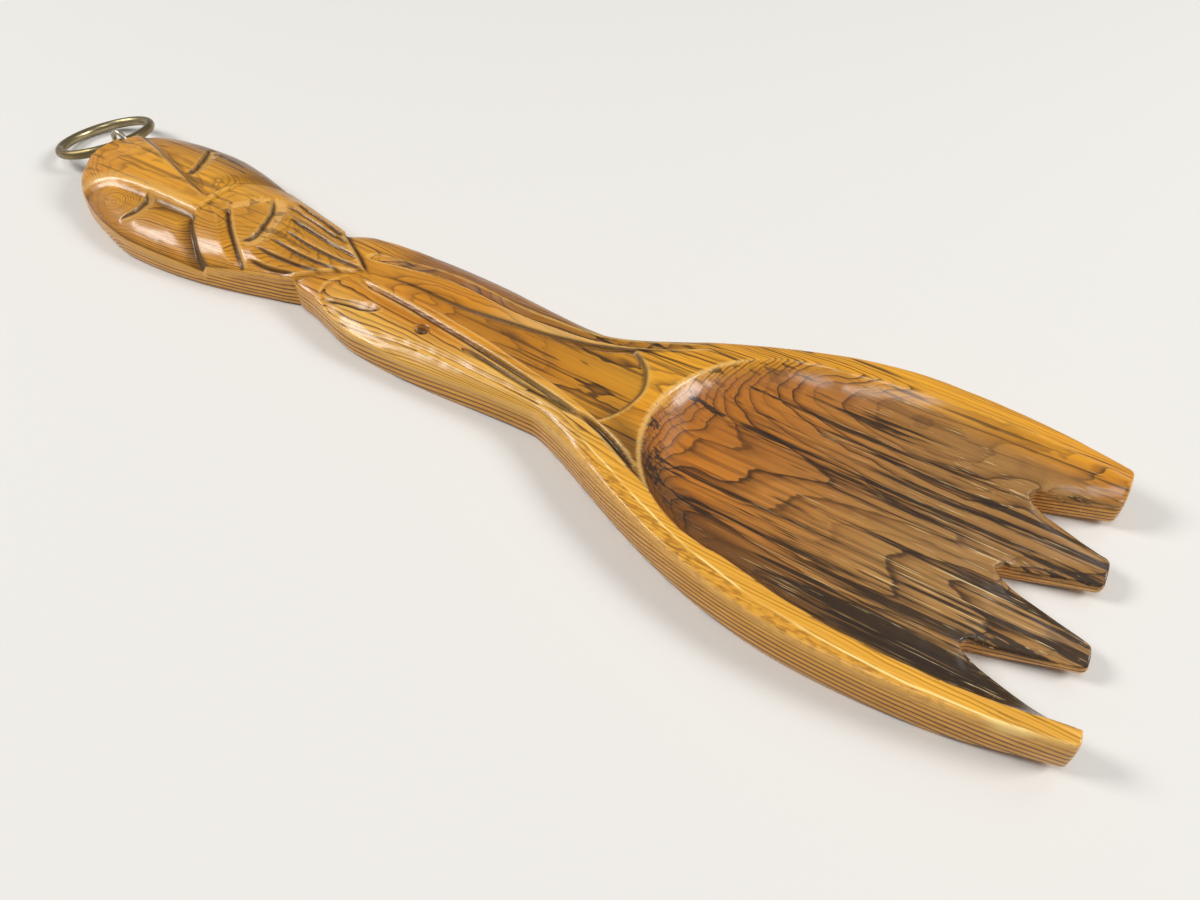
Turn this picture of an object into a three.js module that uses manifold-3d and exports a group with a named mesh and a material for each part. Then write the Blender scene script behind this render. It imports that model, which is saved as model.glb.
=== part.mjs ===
// Wall fork: one board carved with a bearded mask, a panelled handle, a hollowed bowl and four tines,
// hung by a wire ring that swings in a screw eye in the end of the head.
// Millimetres. +Z points out of the carved face, +Y towards the head's end, X runs across the board.
// The origin lies on the flat back, on the centre line, half way along the board.
// Places along the board are stations, counted from the end of the head towards the tines.

import * as THREE from 'three';
import { mergeVertices } from 'three/addons/utils/BufferGeometryUtils.js';
import Module from 'manifold-3d';

// Head: the mask, from its blunt end to the notch at the neck, and the beard's point beyond it
const headLength = 154;
const headEndWidth = 24;
const headWidth = 77;
const headRoundLength = 58;      // from the blunt end to the widest place
const headCrest = 22;            // height of the mask along the centre line
const headEndCrest = 20;
const headEdge = 8;              // height of the side wall at the cheeks
const headEndEdge = 13;
const headUndercut = 4;          // how far the back draws in under the blunt end
const headEndLift = 5;           // how far the blunt end is rounded up off the wall
const neckWidth = 37;
const neckEdge = 12;
const beardLength = 21;          // from the notch to the beard's point
const beardStep = 4.5;           // height of the beard above the handle
const headLean = 5;              // how far the blunt end strays from the centre line
const neckLean = -1.5;           // and the chin and the neck

// Face
const foreheadWidth = 44;
const foreheadAt = 12;
const noseAt = 82;
const noseWidth = 11;
const noseAside = -6;            // how far forehead and nose stray from the middle of the mask
const cheekRelief = 3.2;         // how far the cheeks lie below the forehead and the muzzle
const cheekDrop = 28;            // from the nose to the foot of the cheek
const eyeAt = 47;
const eyeInner = 21;             // between the inner corners
const eyeOuter = 66;             // between the outer corners
const eyeBow = 6;
const mouthAt = 94;
const mouthWidth = 36;
const mouthDrop = 19;
const lipBow = 13;
const beardLines = 8;
const beardRowAt = 122;
const cutWidth = 3.2;            // of a carved line
const cutDepth = 1.8;

// Handle
const handleLength = 168;        // from the neck to the bowl
const swellWidth = 61;
const swellAt = 60;              // from the neck
const waistWidth = 52;
const waistAt = 128;             // from the neck
const waistLean = -2.5;           // how far the waist strays from the centre line
const handleCrest = 18.5;
const handleEdge = 10;
const panelWidth = 26;
const panelFlare = 17;           // how far each panel line spreads towards the bowl

// Bowl and tines
const bowlLength = 130;          // from the handle to the roots of the tines
const bowlWidth = 136;
const bowlRoundLength = 90;      // from the handle to the widest place
const rimHeight = 18;
const rimEdge = 15.5;
const rimWidth = 11;
const tipRim = 6;                // what is left of the rim at the tips
const bowlFloor = 8.5;           // wood left under the bowl
const hollowRound = 54;          // length of the rounded end of the hollow
const tineLength = 34;
const tineCount = 4;
const tipWidth = 116;
const tipSlope = 6;              // degrees, the tips step back across the board
const notchPitch = 35;
const notchMouth = 24;
const notchRoot = 4.5;
const tipLift = 3;               // how far the tips are rounded up off the wall

// Ring and screw eye
const ringOuter = 51;
const ringWire = 4.8;
const ringReach = 4.2;           // from the end of the head to the middle of the ring's wire
const eyeWire = 2.6;
const eyeHeight = 15;            // of the shank above the back
const eyeAside = 9;              // from the middle of the blunt end
const shankLength = 20;
const ringPlay = 2;              // between the ring and the inside of the eye, on the slack side
const ringYaw = 12;              // degrees, the ring lies turned to one side in the loose eye
const slotGap = 0.5;             // between the eye and the slot that it is sunk in
const seatGap = 0.3;             // between touching pieces

// Fineness of the curves
const stationStep = 6;
const ringSteps = 48;
const wireSides = 10;
const eyeSteps = 40;

const wasm = await Module();
wasm.setup();

const { clamp, degToRad, lerp, smoothstep } = THREE.MathUtils;

const neckAt = headLength;
const beardTipAt = headLength + beardLength;
const bowlAt = headLength + handleLength;
const rootAt = bowlAt + bowlLength;
const boardLength = rootAt + tineLength;
const headEndY = boardLength / 2;
const above = 2 * headCrest;     // clear of everything carved


// A value that eases from one named station to the next.
function along(...stops) {
  return (station) => {
    const next = stops.findIndex(([at]) => at >= station);
    if (next === 0) return stops[0][1];
    if (next < 0) return stops[stops.length - 1][1];
    const [fromAt, from] = stops[next - 1];
    const [toAt, to] = stops[next];
    return lerp(from, to, smoothstep(station, fromAt, toAt));
  };
}

// The carved centre line strays a little at the head, as the hand-cut board does.
const centre = along(
  [0, headLean], [noseAt + cheekDrop, neckLean], [neckAt, neckLean],
  [neckAt + waistAt, waistLean], [bowlAt + bowlRoundLength, 0],
);

// A point of the board, from its station, its place across and its height
function place(station, across, height) {
  return new THREE.Vector3(across + centre(station), headEndY - station, height);
}

// Evenly spaced stations, with both ends, no further apart than the step.
function stations(from, to, step = stationStep) {
  const count = Math.ceil(Math.abs(to - from) / step);
  return Array.from({ length: count + 1 }, (_, i) => lerp(from, to, i / count));
}

function toSolid(geometry) {
  const bare = geometry.clone();
  bare.deleteAttribute('normal');
  bare.deleteAttribute('uv');
  const merged = mergeVertices(bare, 1e-4);
  return new wasm.Manifold(new wasm.Mesh({
    numProp: 3,
    vertProperties: new Float32Array(merged.attributes.position.array),
    triVerts: new Uint32Array(merged.index.array),
  }));
}

function toGeometry(solid) {
  const { vertProperties, triVerts } = solid.getMesh();
  const geometry = new THREE.BufferGeometry();
  geometry.setAttribute('position', new THREE.BufferAttribute(new Float32Array(vertProperties), 3));
  geometry.setIndex(new THREE.BufferAttribute(new Uint32Array(triVerts), 1));
  geometry.computeVertexNormals();
  return geometry;
}

// A closed skin over a row of matching convex sections, with flat ends.
function loft(sections) {
  const sides = sections[0].length;
  const positions = sections.flat().flatMap((point) => point.toArray());
  const index = [];
  for (let row = 0; row + 1 < sections.length; row += 1) {
    for (let i = 0; i < sides; i += 1) {
      const a = row * sides + i;
      const b = row * sides + (i + 1) % sides;
      index.push(a, b, b + sides, a, b + sides, a + sides);
    }
  }
  const last = (sections.length - 1) * sides;
  for (let i = 1; i + 1 < sides; i += 1) {
    index.push(0, i + 1, i);
    index.push(last, last + i, last + i + 1);
  }
  const geometry = new THREE.BufferGeometry();
  geometry.setAttribute('position', new THREE.Float32BufferAttribute(positions, 3));
  geometry.setIndex(index);
  return toSolid(geometry);
}

// Half widths of the head and of the rest of the board
function headHalf(station) {
  if (station < headRoundLength) {
    const q = 1 - station / headRoundLength;
    return lerp(headEndWidth, headWidth, Math.sqrt(1 - q * q)) / 2;
  }
  if (station < neckAt) {
    const q = (station - headRoundLength) / (neckAt - headRoundLength);
    return lerp(headWidth, neckWidth, q ** 1.4) / 2;
  }
  return Math.max(lerp(neckWidth, 0, (station - neckAt) / beardLength) / 2, seatGap);
}

const bowlWidestAt = bowlAt + bowlRoundLength;

function handleHalf(station) {
  const waistStation = neckAt + waistAt;
  if (station < neckAt + swellAt) {
    const q = 1 - Math.max(station - neckAt, 0) / swellAt;
    return lerp(neckWidth, swellWidth, Math.sqrt(1 - q * q)) / 2;
  }
  if (station < waistStation) {
    const q = smoothstep(station, neckAt + swellAt, waistStation);
    return lerp(swellWidth, waistWidth, q) / 2;
  }
  if (station < bowlWidestAt) {
    const q = (station - waistStation) / (bowlWidestAt - waistStation);
    return lerp(waistWidth, bowlWidth, smoothstep(q ** 0.72, 0, 1)) / 2;
  }
  const q = (station - bowlWidestAt) / (boardLength - bowlWidestAt);
  return lerp(bowlWidth, tipWidth, q * q) / 2;
}

// Heights of the crest and of the side wall, and how flat the crown between them is
const head = {
  half: headHalf,
  crest: along(
    [0, headEndCrest], [headRoundLength / 2, headCrest], [neckAt, headCrest], [beardTipAt, headCrest - 1],
  ),
  edge: along(
    [0, headEndEdge], [headRoundLength / 2, headEdge], [headRoundLength, headEdge],
    [neckAt, neckEdge], [beardTipAt, headCrest - beardStep],
  ),
  flatness: () => 2.4,
  undercut: along([0, headUndercut], [headRoundLength, 0]),
  lift: along([0, headEndLift], [headEndLift * 2, 0]),
};
const cheek = {
  ...head,
  crest: (station) => head.crest(station) - cheekRelief,
  flatness: () => 3.2,
};
const handle = {
  half: handleHalf,
  crest: along([beardTipAt, headCrest - 1 - beardStep], [neckAt + swellAt, handleCrest], [bowlAt, rimHeight]),
  edge: along([neckAt, handleEdge], [neckAt + waistAt, handleEdge], [bowlAt + rimWidth, rimEdge]),
  flatness: along([neckAt + swellAt, 2.2], [bowlAt + hollowRound, 9]),
  undercut: () => 0,
  lift: along([rootAt, 0], [boardLength, tipLift]),
};

// Height of a crowned face at a place on the board
function crown(form, station, across) {
  const u = clamp(Math.abs(across) / form.half(station), 0, 1);
  const rise = Math.sqrt(1 - u ** form.flatness(station));
  return lerp(form.edge(station), form.crest(station), rise);
}

const crownPlaces = [-1, -0.985, -0.93, -0.8, -0.6, -0.3, 0, 0.3, 0.6, 0.8, 0.93, 0.985, 1];

// A crowned board: flat back, upright sides and a crowned face at each station
function crowned(form, rows) {
  return loft(rows.map((station) => {
    const half = form.half(station);
    const back = Math.max(half - form.undercut(station), half / 2);
    const face = crownPlaces.map((u) => place(station, -u * half, crown(form, station, u * half)));
    return [place(station, -back, form.lift(station)), place(station, back, form.lift(station)), ...face];
  }));
}

// An upright prism over an outline of stations and places across
function prism(outline, from, to) {
  const corners = outline.map(([station, across]) => place(station, across, 0));
  const shape = new THREE.Shape(corners.map((corner) => new THREE.Vector2(corner.x, corner.y)));
  const geometry = new THREE.ExtrudeGeometry(shape, { depth: to - from, bevelEnabled: false });
  geometry.translate(0, 0, from);
  return toSolid(geometry);
}

// Points on a smooth line through a few places of the face
function smoothLine(points, steps = 12) {
  const curve = new THREE.SplineCurve(points.map(([station, across]) => new THREE.Vector2(station, across)));
  return curve.getPoints(steps).map((point) => [point.x, point.y]);
}

// A carved line: a V cut carried over the crowned face, running out at its two ends
function carvedLine(form, points, width = cutWidth, depth = cutDepth) {
  const line = smoothLine(points);
  const sections = line.map(([station, across], i) => {
    const [backStation, backAcross] = line[Math.max(i - 1, 0)];
    const [nextStation, nextAcross] = line[Math.min(i + 1, line.length - 1)];
    const run = new THREE.Vector2(nextStation - backStation, nextAcross - backAcross).normalize();
    const swellOut = Math.sin(Math.PI * lerp(0.06, 0.94, i / (line.length - 1))) ** 0.5;
    const reach = width * swellOut;
    const deep = depth * swellOut;
    const face = crown(form, station, across);
    return [
      place(station + run.y * reach, across - run.x * reach, face + deep),
      place(station, across, face - deep),
      place(station - run.y * reach, across + run.x * reach, face + deep),
    ];
  });
  return loft(sections);
}

const mirrored = (points) => points.map(([station, across]) => [station, -across]);
const bothSides = (points) => [points, mirrored(points)];
const joined = (solids) => solids.reduce((sum, solid) => sum.add(solid));

// The carved lines of one side of the face, each from the middle outwards
function faceLines(side) {
  const lipCorner = [mouthAt + mouthDrop, side * mouthWidth / 2];
  const nose = [noseAt, side * noseWidth / 2 + noseAside];
  return {
    brow: smoothLine([
      [foreheadAt, side * foreheadWidth / 2 + noseAside],
      [lerp(foreheadAt, noseAt, 0.35), side * lerp(foreheadWidth, noseWidth, 0.55) / 2 + noseAside],
      nose,
    ]),
    cheekFoot: smoothLine([
      nose,
      [noseAt + cheekDrop * 0.3, side * headWidth * 0.24 + noseAside / 2],
      [noseAt + cheekDrop, side * headWidth / 2],
    ]),
    eye: [
      [eyeAt, side * eyeInner / 2],
      [eyeAt + eyeBow, side * (eyeInner + eyeOuter) / 4],
      [eyeAt + eyeBow / 2, side * eyeOuter / 2],
    ],
    lip: [[mouthAt, 0], [mouthAt + mouthDrop * 0.5, side * mouthWidth * 0.28], lipCorner],
    chin: [lipCorner, [mouthAt + mouthDrop + lipBow / 2, 0], [lipCorner[0], -lipCorner[1]]],
  };
}

// The mask: a crowned head with its cheeks let in, and the eyes, mouth and beard cut as lines
function makeHead() {
  const sides = [faceLines(1), faceLines(-1)];
  const roundRows = stations(0, 1, 1 / 14).map((q) => headRoundLength * q * q);
  const pointRows = stations(neckAt, beardTipAt);
  const rows = [...roundRows, ...stations(headRoundLength, neckAt).slice(1), ...pointRows.slice(1)];
  const full = crowned(head, rows);
  const low = crowned(cheek, rows);
  const cheeks = sides.map(({ brow, cheekFoot }) => {
    const outside = Math.sign(cheekFoot.at(-1)[1]) * headWidth;
    const outline = [
      ...brow, ...cheekFoot.slice(1), [noseAt + cheekDrop, outside], [foreheadAt, outside],
    ];
    return prism(outline, headEdge / 2, above).subtract(low);
  });
  const beard = Array.from({ length: beardLines }, (_, i) => {
    const share = (i + 0.5) / beardLines * 2 - 1;
    const start = beardRowAt - Math.abs(share) * mouthDrop * 0.6;
    const end = lerp(beardTipAt, neckAt, Math.abs(share)) - cutWidth;
    return [
      [start, share * headHalf(start) * 0.86],
      [lerp(start, end, 0.5), share * headHalf(lerp(start, end, 0.5)) * 0.9],
      [end, share * neckWidth * 0.5],
    ];
  });
  const cuts = [
    ...sides.map(({ eye }) => carvedLine(cheek, eye, cutWidth * 1.3, cutDepth * 1.4)),
    ...sides.map(({ lip }) => carvedLine(head, lip)),
    carvedLine(head, sides[0].chin, cutWidth * 1.4, cutDepth * 1.3),
    ...beard.map((line) => carvedLine(head, line, cutWidth * 0.8, cutDepth * 0.7)),
  ];
  return full.subtract(joined([...cheeks, ...cuts]));
}

// The handle, bowl and tines as one crowned board, with the panel lines cut along the handle
function makeHandle() {
  const rows = stations(neckAt - beardLength, boardLength + bowlWidth * Math.tan(degToRad(tipSlope)) / 2);
  const board = crowned(handle, rows);
  const panel = [
    [beardTipAt, panelWidth / 2],
    [neckAt + swellAt, panelWidth / 2],
    [neckAt + waistAt, panelWidth / 2 + panelFlare * 0.35],
    [bowlAt - cutWidth, panelWidth / 2 + panelFlare],
  ];
  const panelEnd = bowlAt - rimWidth * 0.7;
  const archFoot = [panelEnd - panelWidth / 2, panelWidth * 0.8];
  const arch = [archFoot, [panelEnd, 0], [archFoot[0], -archFoot[1]]];
  const spine = [[beardTipAt + cutWidth, 0], [neckAt + swellAt, 0], [neckAt + swellAt * 1.4, 0]];
  const cuts = [
    ...bothSides(panel).map((line) => carvedLine(handle, line)),
    carvedLine(handle, arch, cutWidth * 0.7, cutDepth * 0.6),
    carvedLine(handle, spine, cutWidth * 0.7, cutDepth * 0.6),
  ];
  return board.subtract(joined(cuts));
}

// The hollow: steep round the handle's end, easing towards the tines, where it runs out
function makeHollow() {
  const centreAt = bowlAt + hollowRound;
  const steepness = along([bowlAt, 7], [rootAt, 3.2]);
  const rim = along([centreAt, rimWidth], [boardLength, tipRim]);
  const outline = (station) => {
    if (station >= centreAt) return handleHalf(station) - rim(station);
    const q = (centreAt - station) / hollowRound;
    return (handleHalf(centreAt) - rimWidth) * Math.sqrt(Math.max(1 - q * q, 0));
  };
  const roundRows = stations(0.04, 1, 1 / 12).map((q) => bowlAt + hollowRound * q * q);
  const rows = [...roundRows, ...stations(centreAt, boardLength + notchPitch).slice(1)];
  return loft(rows.map((station) => {
    const half = outline(station);
    const wide = outline(Math.max(station, centreAt));
    const endward = clamp((centreAt - station) / hollowRound, 0, 1);
    const floor = crownPlaces.map((u) => {
      const radius = Math.min(Math.hypot(endward, u * half / wide), 1);
      const height = lerp(bowlFloor, rimHeight, radius ** steepness(station));
      return place(station, u * half, height);
    });
    return [place(station, half, above), place(station, -half, above), ...floor];
  }));
}

// Three V notches leave four tines, and the tips are sawn off on a slope
function makeNotches() {
  const notches = Array.from({ length: tineCount - 1 }, (_, i) => {
    const across = (i - (tineCount - 2) / 2) * notchPitch;
    const tipAt = boardLength + tineLength;
    const mouth = lerp(notchRoot, notchMouth, (tipAt - rootAt) / tineLength);
    return prism([
      [rootAt, across - notchRoot / 2], [rootAt, across + notchRoot / 2],
      [tipAt, across + mouth / 2], [tipAt, across - mouth / 2],
    ], -above, above);
  });
  const slant = bowlWidth * Math.tan(degToRad(tipSlope));
  const beyond = boardLength + bowlWidth;
  const tips = prism([
    [boardLength - slant, bowlWidth], [boardLength + slant, -bowlWidth],
    [beyond, -bowlWidth], [beyond, bowlWidth],
  ], -above, above);
  return joined([...notches, tips]);
}

// The screw eye is sunk in a slot in the end of the head; its loop stands upright along the board
const eyeX = headLean + eyeAside;
const eyeY = headEndY + ringReach;
const eyeInnerRadius = (ringWire + ringPlay) / 2 + seatGap;
const eyeRadius = eyeInnerRadius + eyeWire / 2;
const slotDepth = Math.max(eyeRadius + eyeWire / 2 + slotGap - ringReach, slotGap);

function makeEyeSeat() {
  const radius = eyeWire / 2 + seatGap;
  const hole = new THREE.CylinderGeometry(radius, radius, 2 * (shankLength + seatGap), wireSides * 2);
  hole.translate(eyeX, headEndY, eyeHeight);
  const slot = new THREE.BoxGeometry(eyeWire + 2 * slotGap, 2 * slotDepth, 2 * above);
  slot.translate(eyeX, headEndY, 0);
  return joined([toSolid(hole), toSolid(slot)]);
}

function makeScrewEye() {
  const at = (y, height) => new THREE.Vector3(eyeX, y, height);
  const turns = stations(148, -138, 26).map((degrees) => at(
    eyeY + eyeRadius * Math.cos(degToRad(degrees)),
    eyeHeight + eyeRadius * Math.sin(degToRad(degrees)),
  ));
  const neckY = eyeY - eyeRadius - eyeWire / 2;
  const shank = [headEndY - shankLength, (headEndY - shankLength + neckY) / 2, neckY - eyeWire, neckY];
  const route = new THREE.CatmullRomCurve3([...shank.map((y) => at(y, eyeHeight)), ...turns]);
  const wire = new THREE.Shape().absarc(0, 0, eyeWire / 2, 0, 2 * Math.PI);
  return new THREE.ExtrudeGeometry(wire, {
    steps: eyeSteps, extrudePath: route, curveSegments: wireSides / 2, bevelEnabled: false,
  });
}

// The ring leans from the eye down to the surface that the fork lies on
const ringRadius = (ringOuter - ringWire) / 2;
const hingeHeight = eyeHeight - ringPlay / 2;
const ringLean = Math.asin((hingeHeight - ringWire / 2) / (2 * ringRadius));

const wood = new THREE.MeshStandardMaterial({ color: 0xa86a2a, roughness: 0.35, metalness: 0 });
const brass = new THREE.MeshStandardMaterial({ color: 0x8d7a4c, roughness: 0.3, metalness: 1 });

const carved = makeHead().add(makeHandle());
const board = carved.subtract(joined([makeHollow(), makeNotches(), makeEyeSeat()]));
const forkBody = new THREE.Mesh(toGeometry(board), wood);
forkBody.name = 'fork_body';

const screwEye = new THREE.Mesh(makeScrewEye(), brass);
screwEye.name = 'screw_eye';

const torus = new THREE.TorusGeometry(ringRadius, ringWire / 2, wireSides, ringSteps);
const hangingRing = new THREE.Mesh(torus, brass);
hangingRing.name = 'hanging_ring';
hangingRing.position.y = ringRadius;

const ringSwing = new THREE.Group();
ringSwing.position.set(eyeX, eyeY, hingeHeight);
ringSwing.rotation.set(-ringLean, 0, degToRad(-ringYaw), 'ZYX');
ringSwing.add(hangingRing);

const wallFork = new THREE.Group();
wallFork.add(forkBody, screwEye, ringSwing);

export default wallFork;
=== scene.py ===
"""Wall fork: a board carved with a mask, a panelled handle, a hollowed bowl and tines, and its ring.

The carved face is one height over the board's plan. The plan is a grid: rows are stations counted from
the blunt end of the head, columns are places across, in four strips that part where the tines begin. The
height is a crowned form with the carving taken out of it. The edge of the grid is then carried down as
one skirt, rounded at the arris, to the flat back. Lengths are millimetres until the mesh is made.
"""

import math

import bpy
import numpy as np
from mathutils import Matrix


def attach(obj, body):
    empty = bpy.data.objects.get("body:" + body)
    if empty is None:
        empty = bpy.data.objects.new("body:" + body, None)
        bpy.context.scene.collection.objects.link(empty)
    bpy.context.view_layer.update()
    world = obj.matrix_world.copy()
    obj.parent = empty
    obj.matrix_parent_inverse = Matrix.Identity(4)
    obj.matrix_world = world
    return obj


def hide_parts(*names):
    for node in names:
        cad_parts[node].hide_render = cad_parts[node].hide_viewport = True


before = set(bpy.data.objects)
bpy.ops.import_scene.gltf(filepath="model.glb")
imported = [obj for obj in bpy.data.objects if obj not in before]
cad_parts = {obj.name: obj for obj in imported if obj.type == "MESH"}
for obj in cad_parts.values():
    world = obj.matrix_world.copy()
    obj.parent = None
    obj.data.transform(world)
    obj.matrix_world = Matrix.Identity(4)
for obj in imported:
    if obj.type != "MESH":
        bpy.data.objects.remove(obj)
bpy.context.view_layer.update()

MM = 0.001

# Head
HEAD_LENGTH = 154.0
HEAD_END_WIDTH = 24.0
HEAD_WIDTH = 77.0
HEAD_ROUND = 58.0
HEAD_CREST = 22.0
HEAD_END_CREST = 20.0
HEAD_EDGE = 8.0
HEAD_END_EDGE = 13.0
HEAD_UNDERCUT = 4.0
HEAD_END_LIFT = 5.0
NECK_WIDTH = 37.0
NECK_EDGE = 15.0
BEARD_LENGTH = 21.0
BEARD_STEP = 4.5
BEARD_CREST = 18.8
HEAD_LEAN = 5.0
CHIN_AT = 110.0
NECK_LEAN = -1.5
JAW_AT = 100.0
MOUTH_AT = 115.0
HEAD_FLATNESS = 2.5
HEAD_FALL = 0.62

# Handle
HANDLE_LENGTH = 168.0
SWELL_WIDTH = 61.0
SWELL_AT = 60.0
WAIST_WIDTH = 52.0
WAIST_AT = 128.0
WAIST_LEAN = -3.3
SHOULDER_LEAN = 0.3
UPPER_LEAN = -1.8
HANDLE_CREST = 18.5
HANDLE_EDGE = 11.0
SHOULDER_EDGE = 12.0
WAIST_EDGE = 12.4

# Bowl and tines
BOWL_LENGTH = 130.0
BOWL_WIDTH = 136.0
BOWL_ROUND = 90.0
RIM_HEIGHT = 18.0
RIM_EDGE = 16.4
RIM_WIDTH = 11.0
TIP_RIM = 6.0
BOWL_FLOOR = 8.5
HOLLOW_ROUND = 54.0
TINE_LENGTH = 34.0
TINES = 4
TIP_WIDTH = 116.0
TIP_SLOPE = math.radians(6.0)
NOTCH_PITCH = 35.0
NOTCH_MOUTH = 24.0
NOTCH_ROOT = 4.5
TIP_LIFT = 3.0

# Ring and screw eye
RING_OUTER = 51.0
RING_WIRE = 4.8
RING_REACH = 4.2
EYE_WIRE = 2.6
EYE_HEIGHT = 15.0
EYE_ASIDE = 9.0
SHANK_LENGTH = 20.0
RING_PLAY = 2.0
RING_YAW = math.radians(12.0)
SEAT_GAP = 0.3

NECK_AT = HEAD_LENGTH
BEARD_TIP_AT = HEAD_LENGTH + BEARD_LENGTH
BEARD_FOOT = HEAD_CREST - 1 - BEARD_STEP
SHOULDER_AT = NECK_AT + 11
SWELL_STATION = NECK_AT + SWELL_AT
UPPER_AT = SWELL_STATION - 20
WAIST_STATION = NECK_AT + WAIST_AT
BOWL_AT = HEAD_LENGTH + HANDLE_LENGTH
WIDEST_AT = BOWL_AT + BOWL_ROUND
HOLLOW_CENTRE = BOWL_AT + HOLLOW_ROUND
ROOT_AT = BOWL_AT + BOWL_LENGTH
BOARD_LENGTH = ROOT_AT + TINE_LENGTH
HEAD_END_Y = BOARD_LENGTH / 2

CUT_BLUNT = 0.4      # how far the bottom of a cut is blunted
CUT_END = 0.45       # share of its width that a cut keeps at its ends
NECK_DRAWN = 6.0     # how far the cut of the neck is drawn towards the blunt end
NECK_SLOPE = 0.12    # how much farther for each millimetre towards +X
WEDGE_REACH = 8.0    # how far out from the wedge the cheeks are let in
LIP_SOFT = 0.8       # how far the bowl's lip is softened
FOOT_ROUND = 0.9     # rounding where the side meets the back
TIP_CORNER = 1.2     # worn corners of the tines, in plan
SLOT_DEPTH = 3.4     # cut in the blunt end that the screw eye is sunk in
SIDE_LEAST = 3.5     # height of side that the rounded arris leaves
TINE_WEAR = 1.6      # how far the tines are worn down beside the notches
WEAR_REACH = 6.0     # how far in from a notch that wear goes

# Stations over which parts of the carving come in or go out
SLANT_IN = (98, 150)
SLANT_OUT = (156, 178)
MUZZLE_IN = (82.5, 84.5)
NOSE_IN = (0, 60)
PANEL_IN = (192, 240)
PANEL_DEEPENS = (215, 300)
PANEL_CLOSES = 288
BAND_IN = (174, 190)
BAND_RISES = (225, 265)
BAND_OUT = (318, 328)
SHOULDER_IN = (196, 226)
SHOULDER_OUT = (294, 316)

# Cheeks: depth all over, beside the wedge at the blunt end, more there at the nose, at the fold, its reach
FAR_CHEEK = (0.5, 1.6, 1.4, 3.0, 6)
NEAR_CHEEK = (0.6, 1.2, 2.2, 3.7, 7)

# The knife's unevenness: height, least and greatest length of a wave, count of waves, seed
UNEVEN = [(0.10, 9, 45, 26, 3), (0.03, 3, 9, 22, 8)]

# Rounded edge of the face: station, how far in it begins
ARRIS = [(0, 0.7), (14, 1.0), (138, 1.0), (150, 0.4), (162, 0.4), (180, 0.8)]

# Counts of points, and the rows of the face: from station, to station, count
END_ROWS = 15
ROW_BANDS = [
    (8, 40, 46), (40, 58, 44), (58, 93, 50), (93, 126, 80), (126, 182, 80), (182, BOWL_AT, 167),
    (BOWL_AT, BOWL_AT + 22, 27),
]
BOWL_ROWS = 67
STRIP_COLUMNS = 33
TINE_ROWS = 30
RING_STEPS = 160
RING_SIDES = 32
EYE_STEPS = 220
EYE_SIDES = 24


# Shared sums

def rise(value, low, high):
    """0 below low, 1 above high, an S between them: 3q squared less 2q cubed."""
    q = np.clip((value - low) / (high - low), 0, 1)
    return q * q * (3 - 2 * q)


def between(value, come_in, go_out):
    """Up an S over one pair of places and down another over the next pair."""
    return rise(value, *come_in) * (1 - rise(value, *go_out))


def eased(at, *stops):
    """A value that eases from each named station to the next along an S."""
    places = np.array([stop[0] for stop in stops])
    values = np.array([stop[1] for stop in stops])
    step = np.clip(np.searchsorted(places, at) - 1, 0, len(stops) - 2)
    q = rise(at, places[step], places[step + 1])
    return values[step] + (values[step + 1] - values[step]) * q


def smooth_line(points, count=40):
    """A smooth line through a few places: the Catmull-Rom cubic between each two of them."""
    knots = np.asarray(points, float)
    ends = np.vstack([2 * knots[0] - knots[1], knots, 2 * knots[-1] - knots[-2]])
    share = np.linspace(0, len(knots) - 1, count)
    step = np.minimum(share.astype(int), len(knots) - 2)
    q = (share - step)[:, None]
    a, b, c, d = ends[step], ends[step + 1], ends[step + 2], ends[step + 3]
    bend = (2 * a - 5 * b + 4 * c - d) * q ** 2 + (3 * b - a - 3 * c + d) * q ** 3
    return 0.5 * (2 * b + (c - a) * q + bend)


def from_line(points, s, x, reach):
    """How far places lie from a smooth line: the least distance to its segments, positive on the +X side
    of a line that runs to the tines, with the share of the way along it, for the places within reach."""
    line = smooth_line(points)
    low = line.min(0) - reach
    high = line.max(0) + reach
    near = (s > low[0]) & (s < high[0]) & (x > low[1]) & (x < high[1])
    start = line[:-1]
    run = line[1:] - start
    off_s = s[near][:, None] - start[:, 0]
    off_x = x[near][:, None] - start[:, 1]
    q = np.clip((off_s * run[:, 0] + off_x * run[:, 1]) / (run ** 2).sum(1), 0, 1)
    off_s = off_s - q * run[:, 0]
    off_x = off_x - q * run[:, 1]
    away = np.hypot(off_s, off_x)
    best = away.argmin(1)
    row = np.arange(len(best))
    side = np.where(run[best, 0] * off_x[row, best] < run[best, 1] * off_s[row, best], -1.0, 1.0)
    return near, side * away[row, best], (best + q[row, best]) / len(run)


def ripples(s, x, least, most, count, seed):
    """Unevenness left by the knife: a sum of sine waves of mixed lengths and directions, about 1 high."""
    dice = np.random.default_rng(seed)
    length = np.exp(dice.uniform(math.log(least), math.log(most), count))
    turn = dice.uniform(0, math.pi, count)
    phase = dice.uniform(0, 2 * math.pi, count)
    total = np.zeros_like(s)
    for k in range(count):
        run = s * math.cos(turn[k]) * 0.6 + x * math.sin(turn[k])
        total += np.sin(2 * math.pi * run / length[k] + phase[k]) * length[k]
    return total / np.sqrt((length ** 2).sum() / 2)


# Plan of the board

def centre(s):
    """How far the carved centre line strays across the board at a station."""
    return eased(
        s, (0, HEAD_LEAN), (CHIN_AT, NECK_LEAN), (NECK_AT, NECK_LEAN), (SHOULDER_AT, SHOULDER_LEAN),
        (UPPER_AT, UPPER_LEAN), (WAIST_STATION, WAIST_LEAN), (WIDEST_AT, 0),
    )


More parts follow.
